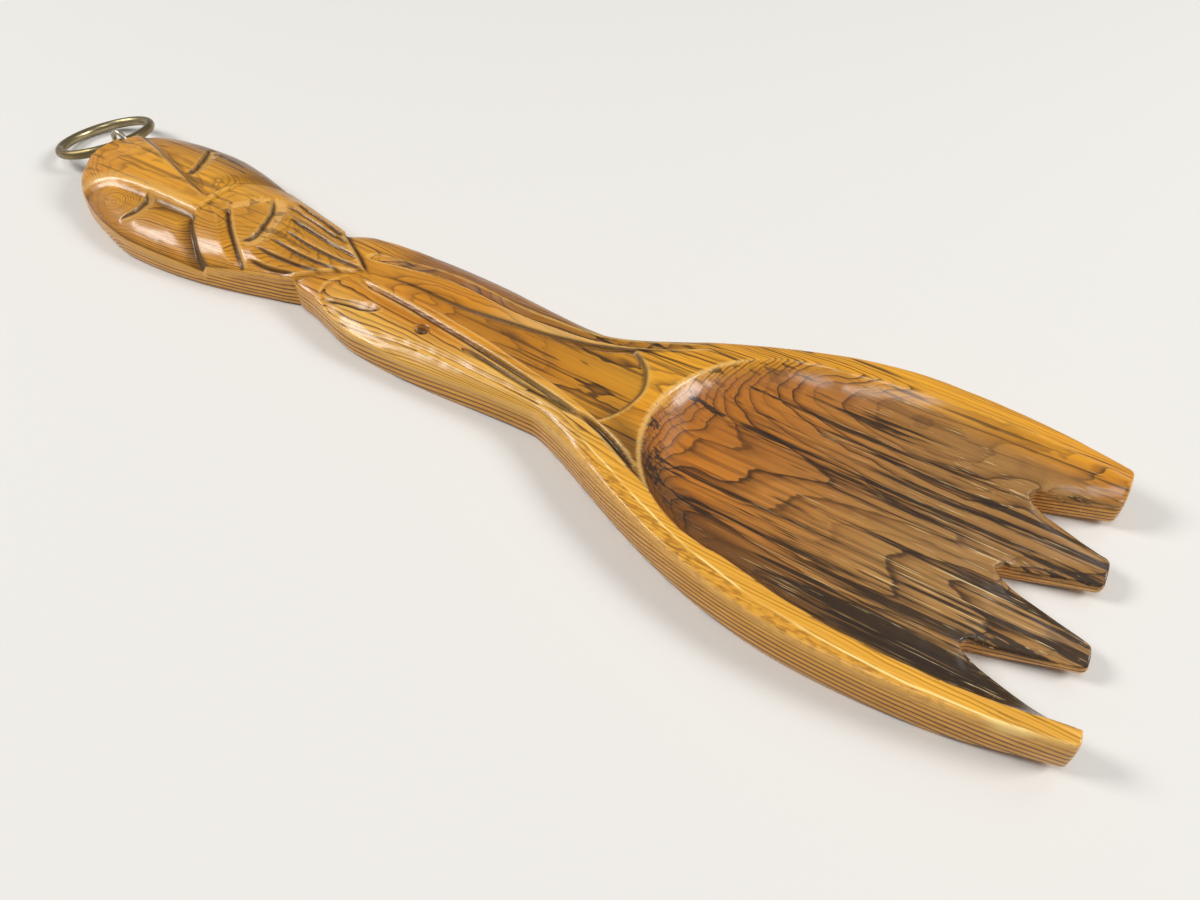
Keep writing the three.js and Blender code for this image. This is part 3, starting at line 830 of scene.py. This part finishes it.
def make_board():
    """The carved board: the face's grid, its skirt and the flat back, welded into one closed mesh."""
    s, x, split_row = board_plan()
    z = face_height(s, x) - tine_wear(s, x, s[split_row, 0, 0])
    grid = np.stack([x, HEAD_END_Y - s - neck_slant(s, x), z], -1).reshape(-1, 3)

    # neighbouring strips share their points down to the roots of the notches
    number = np.arange(len(grid)).reshape(s.shape)
    number[:split_row + 1, 1:, 0] = number[:split_row + 1, :-1, -1]

    # each point of the edge and the point next to it inside, for the slope that the face arrives with
    beside = number.copy()
    beside[:, :, 0] = number[:, :, 1]
    beside[:, :, -1] = number[:, :, -2]
    beside[0] = number[1]
    beside[-1] = number[-2]
    loop = edge_loop(number, split_row)
    edge = grid[loop]
    within = grid[edge_loop(beside, split_row)]
    out = outward(edge[:, :2])
    inward = np.maximum(((edge - within)[:, :2] * out).sum(1), 0.25)
    side = skirt(edge, (within[:, 2] - edge[:, 2]) / inward, out)
    levels, count, _ = side.shape
    below = len(grid) + np.arange(levels * count).reshape(levels, count)
    ladder = np.pad(np.vstack([loop, below]), ((0, 0), (0, 1)), mode="wrap")

    under = np.full(len(grid), -1)
    under[loop] = below[-1]
    first = np.concatenate([under[number[0, k, :-1]] for k in range(TINES)] + [under[number[0, -1, -1:]]])
    tips = [under[number[-1, k]] for k in range(TINES)]
    backs = back_faces(under[number[:, :, 0]], under[number[:, :, -1]], first, tips, split_row)

    # drop the points that the welded strips left unused
    points = np.concatenate([grid, side.reshape(-1, 3)])
    used = np.zeros(len(points), dtype=bool)
    used[number] = True
    used[len(grid):] = True
    renumber = np.cumsum(used) - 1
    faces = renumber[np.concatenate([cells(number), cells(ladder.T)])].tolist()
    flat_from = len(faces)
    faces += [renumber[np.array(face)].tolist() for face in backs]
    board = new_piece("carved_board", points[used], faces, flat_from)
    at_tip = (HEAD_END_Y - edge[:, 1] > ROOT_AT + 12) * rise(-out[:, 1], 0.75, 0.95)
    for name, (on_face, on_side) in board_marks(s, x, z, loop, levels, at_tip).items():
        on_side = np.broadcast_to(on_side, (levels, count))
        paint(board, name, np.concatenate([on_face.reshape(-1), on_side.reshape(-1)])[used])
    return board


# Ring and screw eye

def turns(count):
    """Angles once round, evenly spaced."""
    return np.arange(count) / count * 2 * math.pi


def ring_frame():
    """Centre of the ring and its three directions: across the eye, away from the eye, and out of its
    plane. The ring leans down from the eye until its far side rests level with the back."""
    radius = (RING_OUTER - RING_WIRE) / 2
    eye_radius = (RING_WIRE + RING_PLAY) / 2 + SEAT_GAP
    height = EYE_HEIGHT - eye_radius + RING_WIRE / 2 + SEAT_GAP
    lean = math.asin((height - RING_WIRE / 2) / (2 * radius))
    hold = np.array([HEAD_LEAN + EYE_ASIDE, HEAD_END_Y + RING_REACH, height])
    across = np.array([math.cos(RING_YAW), -math.sin(RING_YAW), 0])
    level = np.array([math.sin(RING_YAW), math.cos(RING_YAW), 0])
    away = math.cos(lean) * level - math.sin(lean) * np.array([0, 0, 1])
    return hold + radius * away, across, away, np.cross(across, away), radius


def make_ring():
    """The hanging ring: a round wire carried round a circle, a hair thicker and thinner by hand."""
    middle, across, away, out, radius = ring_frame()
    around, about = np.meshgrid(turns(RING_STEPS), turns(RING_SIDES), indexing="ij")
    wire = RING_WIRE / 2 - 0.05 + 0.03 * np.sin(3 * around + 1) * np.cos(about)
    reach = radius + wire * np.cos(about)
    points = (
        middle
        + (reach * np.cos(around))[..., None] * across
        + (reach * np.sin(around))[..., None] * away
        + (wire * np.sin(about))[..., None] * out
    )
    faces = cells(np.pad(np.arange(around.size).reshape(around.shape), (0, 1), mode="wrap"))
    ring = new_piece("ring_of_wire", points.reshape(-1, 3), faces.tolist())
    # paler towards the wire's inner side: wear, with a painted reflection there
    paint(ring, "worn", (0.5 - 0.5 * np.cos(about)).reshape(-1))
    return ring


def make_screw_eye():
    """The screw eye: a round wire carried along a shank and most of the way round a loop, both ends drawn
    to a point by the square root of the distance from the end."""
    eye_radius = (RING_WIRE + RING_PLAY) / 2 + SEAT_GAP + EYE_WIRE / 2
    middle_y = HEAD_END_Y + RING_REACH
    neck = middle_y - eye_radius - EYE_WIRE / 2
    turn = np.radians(np.linspace(148, -138, 22))
    bend = np.column_stack([middle_y + eye_radius * np.cos(turn), EYE_HEIGHT + eye_radius * np.sin(turn)])
    shank = np.column_stack([np.linspace(HEAD_END_Y - SHANK_LENGTH, neck, 9), np.full(9, EYE_HEIGHT)])
    path = smooth_line(np.vstack([shank, bend]), EYE_STEPS)
    run = np.gradient(path, axis=0)
    run /= np.linalg.norm(run, axis=1)[:, None]
    length = np.concatenate([[0], np.cumsum(np.linalg.norm(np.diff(path, axis=0), axis=1))])
    point = np.minimum(length / 3.0, 1)
    close = np.minimum((length[-1] - length) / 0.5, 1)
    wire = EYE_WIRE / 2 * np.sqrt(np.maximum(point * np.sqrt(1 - (1 - close) ** 2), 0.0004))
    about = turns(EYE_SIDES)
    aside = wire[:, None] * np.cos(about)
    over = wire[:, None] * np.sin(about)
    points = np.stack([
        HEAD_LEAN + EYE_ASIDE + aside,
        path[:, :1] - run[:, 1:] * over,
        path[:, 1:] + run[:, :1] * over,
    ], -1)
    number = np.arange(EYE_STEPS * EYE_SIDES).reshape(EYE_STEPS, EYE_SIDES)
    faces = cells(np.pad(number, ((0, 0), (0, 1)), mode="wrap").T).tolist()
    faces += [number[0, ::-1].tolist(), number[-1].tolist()]
    eye = new_piece("wire_eye", points.reshape(-1, 3), faces)
    paint(eye, "worn", np.repeat((length > SHANK_LENGTH).astype(float), EYE_SIDES))
    return eye


# Finishes

def tone(red, green, blue):
    """A colour written as it is seen on screen, 0 to 255, as the linear colour that the shader takes."""
    seen = np.array([red, green, blue]) / 255
    linear = np.where(seen < 0.04045, seen / 12.92, ((seen + 0.055) / 1.055) ** 2.4)
    return (*linear.tolist(), 1.0)


class Bench:
    """Short calls that place nodes in one tree and join them. A value is a number, a colour or a socket.
    Tints draws a colour towards others in turn, as seen on screen, each by the product of its shares."""

    def __init__(self, tree):
        self.tree = tree

    def fill(self, sockets, values):
        for key, value in values.items():
            if isinstance(value, bpy.types.NodeSocket):
                self.tree.links.new(value, sockets[key])
            else:
                sockets[key].default_value = value

    def node(self, kind, inputs, **settings):
        made = self.tree.nodes.new("ShaderNode" + kind)
        for name, setting in settings.items():
            setattr(made, name, setting)
        self.fill(made.inputs, inputs)
        return made.outputs

    def sum(self, operation, a, b=0.0, c=0.0):
        return self.node("Math", {0: a, 1: b, 2: c}, operation=operation)[0]

    def times(self, first, *others):
        for value in others:
            first = self.sum("MULTIPLY", first, value)
        return first

    def scaled(self, value, by, more):
        return self.sum("MULTIPLY_ADD", value, by, more)

    def less(self, value):
        return self.sum("SUBTRACT", 1.0, value)

    def parts(self, place):
        return self.node("SeparateXYZ", {0: place})

    def noise(self, place, sizes, detail=2.0, roughness=0.5):
        stretched = self.node("VectorMath", {0: place, 1: sizes}, operation="MULTIPLY")[0]
        inputs = {"Vector": stretched, "Scale": 1.0, "Detail": detail, "Roughness": roughness}
        return self.node("TexNoise", inputs)[0]

    def ramp(self, value, low, high, bottom=0.0, top=1.0):
        inputs = {0: value, 1: low, 2: high, 3: bottom, 4: top}
        return self.node("MapRange", inputs, interpolation_type="SMOOTHSTEP")[0]

    def mix(self, share, a, b):
        return self.node("Mix", {0: share, 6: a, 7: b}, data_type="RGBA")[2]

    def tints(self, colour, *coats):
        for seen, *shares in coats:
            colour = self.mix(self.times(*shares), colour, tone(*seen))
        return colour

    def painted(self, name):
        return self.node("Attribute", {}, attribute_name=name)["Fac"]

    def place(self):
        return self.node("TexCoord", {})["Object"]

    def group(self, tree, **values):
        return self.node("Group", values, node_tree=tree)

    def bumped(self, height, distance, strength):
        return self.node("Bump", {"Strength": strength, "Distance": distance, "Height": height})[0]


def new_group(name, takes, gives):
    """An empty node group with named sockets."""
    tree = bpy.data.node_groups.new(name, "ShaderNodeTree")
    for label, kind in takes.items():
        tree.interface.new_socket(name=label, in_out="INPUT", socket_type="NodeSocket" + kind)
    for label in gives:
        tree.interface.new_socket(name=label, in_out="OUTPUT", socket_type="NodeSocketFloat")
    return Bench(tree), tree.nodes.new("NodeGroupInput").outputs, tree.nodes.new("NodeGroupOutput").inputs


def growth_group():
    """Growth layers of a flat-sawn board: shells that bow down to the two sides, wander slowly along it
    and rise in a bell under the near cheek. Late is the dark end of each layer, Line its thin last edge,
    Tone a number of its own for each."""
    sockets = {"Place": "Vector", "Step": "Float"}
    bench, takes, gives = new_group("growth layers", sockets, ("Late", "Line", "Tone"))
    place = takes["Place"]
    aside, along, up = bench.parts(place)
    off = bench.sum("ADD", aside, 0.010)
    bow = bench.times(off, off, -4.0)
    slow = bench.scaled(bench.noise(place, (20, 5, 20), 1.0), 0.018, -0.009)
    quick = bench.scaled(bench.noise(place, (150, 18, 150)), 0.0012, -0.0006)
    depth = bench.sum("ADD", bench.sum("ADD", up, bow), bench.sum("ADD", slow, quick))
    depth = bench.scaled(along, 0.012, depth)
    cheek_x = bench.times(bench.sum("ADD", aside, 0.027), 100.0)
    cheek_y = bench.times(bench.sum("SUBTRACT", along, 0.205), 72.0)
    apart = bench.scaled(cheek_x, cheek_x, bench.times(cheek_y, cheek_y))
    bell = bench.sum("EXPONENT", bench.times(apart, -1.0))
    layer = bench.sum("DIVIDE", bench.scaled(bell, 0.012, depth), takes["Step"])
    inside = bench.sum("FRACT", layer)
    bench.fill(gives, {
        "Late": bench.times(bench.ramp(inside, 0.42, 0.82), bench.ramp(inside, 0.9, 1.0, 1.0, 0.0)),
        "Line": bench.times(bench.ramp(inside, 0.78, 0.92), bench.ramp(inside, 0.95, 1.0, 1.0, 0.0)),
        "Tone": bench.node("TexWhiteNoise", {"W": bench.sum("FLOOR", layer)}, noise_dimensions="1D")[0],
    })
    return bench.tree


def speckle_group():
    """Small marks along one direction: Fine is a soft streak, Mark the few spots where it is strongest."""
    bench, takes, gives = new_group("speckle", {"Place": "Vector", "Size": "Vector"}, ("Fine", "Mark"))
    streak = bench.noise(takes["Place"], takes["Size"], 3.0, 0.6)
    bench.fill(gives, {"Fine": bench.ramp(streak, 0.25, 0.75), "Mark": bench.ramp(streak, 0.63, 0.72)})
    return bench.tree


def new_material(name):
    """A material with one Principled shader, and the bench that its nodes are placed on."""
    material = bpy.data.materials.new(name)
    material.use_nodes = True
    return material, Bench(material.node_tree), material.node_tree.nodes["Principled BSDF"].inputs


def lacquered_wood(growth, speckle):
    """Amber lacquer over a brown board: layers and fibres along it, near-black streaks, painted shade in the
    cuts, the valleys and the knot hole, painted highlight with wear on the raised edges, painted light on the
    lit slopes of the cuts, painted shadow with dirt under the bowl's near lip, browner and then greyer down
    the bowl, with pale scratches along the tines."""
    material, bench, shader = new_material("lacquered_wood")
    place = bench.place()
    aside, along, _ = bench.parts(place)
    names = ("bowl", "side", "panel", "far slope", "band", "valley_shade", "painted_shade", "past lip")
    bowl, side, panel, slope, band, valley_shade, painted_shade, inset = [bench.painted(name) for name in names]
    face = bench.less(side)
    tineward = bench.ramp(along, -0.09, -0.19)
    head = bench.ramp(along, 0.074, 0.098)
    wedge = bench.times(head, bench.ramp(aside, -0.022, -0.012))
    steps = (0.00115, 0.00075, 0.0019)
    layers, rings, walls = [bench.group(growth, Place=place, Step=step) for step in steps]
    sizes = ((900.0, 45.0, 900.0), (620.0, 11.0, 620.0), (1700.0, 30.0, 1700.0), (1150.0, 17.0, 1150.0))
    pores, fibres, scratches, rubs = [bench.group(speckle, Place=place, Size=size) for size in sizes]
    figure = bench.ramp(bench.noise(place, (18, 7, 18)), 0.3, 0.7)

    # the board: amber, golden along its near edge, with fine growth lines that are fainter on the wedge, and
    # painted shade on the head's far side and in the cheeks' valleys
    plainer = bench.scaled(wedge, -0.55, 1.0)
    fine = bench.times(bench.ramp(rings["Tone"], 0.0, 1.0, 0.2), plainer)
    fine_late = bench.times(rings["Late"], fine)
    blotch = bench.ramp(bench.noise(place, (30, 13, 30)), 0.42, 0.66)
    sapwood = bench.times(bench.ramp(inset, 8.0, -4.0), bench.ramp(along, 0.085, 0.06))
    amber = bench.tints(
        bench.mix(figure, tone(202, 120, 8), tone(248, 176, 42)),
        ((132, 70, 16), blotch, bench.scaled(head, 0.14, 0.2)),
        ((132, 78, 24), head, 0.1),
        ((255, 206, 96), sapwood, 0.56),
        ((106, 54, 12), fine_late, 0.75),
        ((44, 22, 7), rings["Line"], fine, 0.95),
        # painted shade on the head's far side
        ((62, 36, 16), head, bench.ramp(aside, 0.012, 0.036), 0.7),
        # painted shade in the cheeks' valleys, streaked along the growth lines
        ((50, 27, 13), valley_shade, bench.scaled(fine_late, 0.5, 0.45)),
    )

    # the bowl and the sides, with wider layers, and painted light on the lit slopes of the cuts
    brown = bench.tints(
        bench.mix(tineward, tone(204, 124, 32), tone(172, 128, 70)),
        ((124, 74, 28), figure, 0.4),
        ((90, 48, 16), layers["Late"], bench.ramp(layers["Tone"], 0.0, 1.0, 0.3), 0.5),
        ((40, 22, 10), layers["Line"], bench.ramp(layers["Tone"], 0.0, 1.0, 0.25), 0.8),
    )
    colour = bench.tints(
        bench.mix(bowl, amber, brown),
        ((122, 84, 28), panel, 0.34),
        ((96, 58, 20), slope, 0.55),
        ((236, 194, 120), band, 0.55),
    )
    edge = bench.mix(walls["Late"], tone(232, 164, 50), tone(94, 56, 16))
    colour = bench.tints(
        bench.mix(side, colour, edge),
        ((206, 156, 94), bench.painted("end grain")),
        ((92, 50, 14), fibres["Fine"], 0.28),
        # painted light on the lit slopes of the cuts
        ((228, 178, 102), bench.painted("painted_lit_slope"), 0.6),
    )

    # the near rim: a smooth golden top, a rough strip outside, a painted highlight along the arris between,
    # broken as by wear, and painted shadow with dirt on the floor under the lip
    uneven = bench.scaled(bench.noise(place, (60, 30, 60)), 2.4, -1.2)
    past_lip = bench.sum("ADD", inset, uneven)
    by_bowl = bench.times(bench.ramp(along, -0.056, -0.08), face)
    top = bench.times(by_bowl, bench.ramp(past_lip, 0.3, -0.3))
    chipped = bench.ramp(bench.noise(place, (700, 240, 700), 3.0), 0.44, 0.64, 0.15)
    # painted highlight along the arris between the rough strip and the top
    arris_highlight = bench.times(bench.ramp(past_lip, -6.1, -5.6), bench.ramp(past_lip, -4.9, -5.4))
    broken = bench.ramp(bench.noise(place, (70, 45, 70)), 0.4, 0.58, 0.12, 0.9)
    # painted shadow with dirt on the bowl's floor under the near lip
    foot = bench.times(bench.ramp(past_lip, 0.0, 0.8), bench.ramp(past_lip, 22.0, 9.0))
    colour = bench.tints(
        colour,
        ((240, 168, 34), top, 0.42),
        ((146, 88, 20), top, bench.ramp(past_lip, -5.4, -6.4), chipped, 0.62),
        ((255, 226, 146), top, arris_highlight, broken),
        ((52, 32, 16), foot, by_bowl, 0.68),
    )

    # near-black streaks, wide in the bowl, thin there, in the panel, on the wedge and far side, then painted
    # highlight with wear on the raised edges, painted shade in the cuts, and wear
    near = bench.times(bench.ramp(aside, 0.004, -0.034), tineward)
    cloud = bench.scaled(near, 0.115, bench.noise(place, (75, 4, 75), 5.0, 0.68))
    cloud = bench.scaled(fibres["Fine"], 0.12, cloud)
    line = bench.ramp(bench.noise(place, (430, 5, 430)), 0.55, 0.64)
    lined = bench.mix(bowl, bench.ramp(aside, 0.002, 0.026, 0.08, 0.8), (0.34, 0.34, 0.34, 1.0))
    for share in (slope, bench.times(panel, 0.65), bench.times(wedge, 0.5)):
        lined = bench.sum("MAXIMUM", lined, share)
    scratched = bench.sum("MAXIMUM", scratches["Mark"], rubs["Mark"])
    colour = bench.tints(
        colour,
        ((34, 22, 13), bench.ramp(cloud, 0.605, 0.665), bowl, face, 0.9),
        ((46, 27, 12), line, lined, bench.less(bench.sum("MAXIMUM", side, band))),
        # painted highlight with wear on the raised edges
        ((240, 192, 108), bench.painted("highlight_and_wear"), 0.5),
        # painted shade in the cuts, the valleys and the knot hole, near black
        ((38, 20, 8), painted_shade, 0.88),
        ((66, 38, 16), pores["Mark"], 0.5),
        ((232, 204, 148), scratched, bench.scaled(bench.times(tineward, bowl), 0.65, 0.1)),
    )
    height = bench.scaled(fibres["Fine"], -0.4, bench.times(pores["Mark"], -0.8))
    bench.fill(shader, {
        "Base Color": colour,
        "Roughness": bench.ramp(fibres["Fine"], 0.0, 1.0, 0.34, 0.48),
        "Specular IOR Level": 0.25,
        "Coat Weight": bench.scaled(bench.sum("MAXIMUM", valley_shade, painted_shade), -0.42, 0.5),
        "Coat Roughness": 0.18,
        "Normal": bench.bumped(height, 0.0002, 0.6),
    })
    return material


def aged_brass(speckle, name, body, worn):
    """Brass gone dull: a body colour, darker blotches, and a paler colour where the piece is marked: wear,
    and on the ring's inner side a painted reflection as well.
    """
    material, bench, shader = new_material(name)
    place = bench.place()
    spots = bench.group(speckle, Place=place, Size=(260.0, 260.0, 260.0))
    blotch = bench.ramp(bench.noise(place, (70, 70, 70), 3.0), 0.35, 0.7)
    colour = bench.tints(
        bench.mix(bench.times(bench.painted("worn"), 0.5), body, worn),
        ((84, 68, 38), blotch, 0.45),
        ((52, 42, 26), spots["Mark"], 0.5),
    )
    bench.fill(shader, {
        "Base Color": colour,
        "Roughness": bench.ramp(blotch, 0.0, 1.0, 0.28, 0.46),
        "Metallic": 1.0,
        "Normal": bench.bumped(spots["Fine"], 0.0001, 0.3),
    })
    return material


def finish_with(piece, material, body, node):
    """Give a piece its material and its place in the frame."""
    piece.data.materials.append(material)
    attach(piece, body)
    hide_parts(node)


growth = growth_group()
speckle = speckle_group()
finish_with(make_board(), lacquered_wood(growth, speckle), "fork", "fork_body")
finish_with(make_ring(), aged_brass(speckle, "ring_brass", tone(150, 132, 92), tone(196, 184, 150)),
            "ring", "hanging_ring")
finish_with(make_screw_eye(), aged_brass(speckle, "eye_brass", tone(190, 176, 140), tone(206, 204, 196)),
            "fork", "screw_eye")


# Floor, light and camera

FLOOR_HALF = 3000.0
FLOOR_DROP = 0.4
DAYLIGHT = (1.0, 0.99, 0.97)


def make_floor():
    """A plain pale floor just under the board."""
    corners = [(-1, -1), (1, -1), (1, 1), (-1, 1)]
    points = np.array([(a * FLOOR_HALF, b * FLOOR_HALF, -FLOOR_DROP) for a, b in corners])
    floor = new_piece("floor", points, [[0, 1, 2, 3]])
    material, bench, shader = new_material("pale_floor")
    bench.fill(shader, {"Base Color": tone(226, 224, 220), "Roughness": 0.9})
    floor.data.materials.append(material)


def add_lamp(name, place, aim, size, power, colour):
    """A square soft lamp at a place in metres, turned to face another."""
    data = bpy.data.lights.new(name, "AREA")
    data.size = size
    data.energy = power
    data.color = colour
    lamp = bpy.data.objects.new(name, data)
    lamp.location = place
    lamp.rotation_euler = look_along(np.array(aim) - np.array(place))
    bpy.context.collection.objects.link(lamp)


def look_along(direction):
    """Turn that points an object's -Z along a direction with its +Y up."""
    unit = direction / np.linalg.norm(direction)
    tilt = math.acos(-unit[2])
    turn = math.atan2(-unit[0], unit[1])
    return (tilt, 0.0, turn)


make_floor()
world = bpy.data.worlds.new("soft room")
world.use_nodes = True
background = world.node_tree.nodes["Background"].inputs
Bench(world.node_tree).fill(background, {"Color": (1.0, 1.0, 1.0, 1.0), "Strength": 0.28})
bpy.context.scene.world = world
add_lamp("left window", (-0.76, 1.66, 1.58), (0, 0.05, 0), 0.76, 31, DAYLIGHT)
add_lamp("right window", (0.82, -1.75, 1.45), (0, -0.1, 0), 0.76, 31, DAYLIGHT)
add_lamp("roof light", (-0.72, -0.28, 2.1), (0, -0.1, 0), 0.6, 9, (1.0, 1.0, 1.0))
add_lamp("far window", (1.02, -0.52, 1.05), (0, -0.2, 0), 0.5, 1.3, DAYLIGHT)

camera_data = bpy.data.cameras.new("camera")
camera_data.lens = 30.0
camera_data.sensor_width = 36.0
camera_data.clip_start = 0.01
camera = bpy.data.objects.new("camera", camera_data)
camera.location = (-0.2392, -0.2068, 0.279)
camera.rotation_euler = look_along(np.array([0.5715, 0.3717, -0.7314]))
bpy.context.collection.objects.link(camera)
bpy.context.scene.camera = camera
bpy.context.scene.view_settings.view_transform = "Standard"
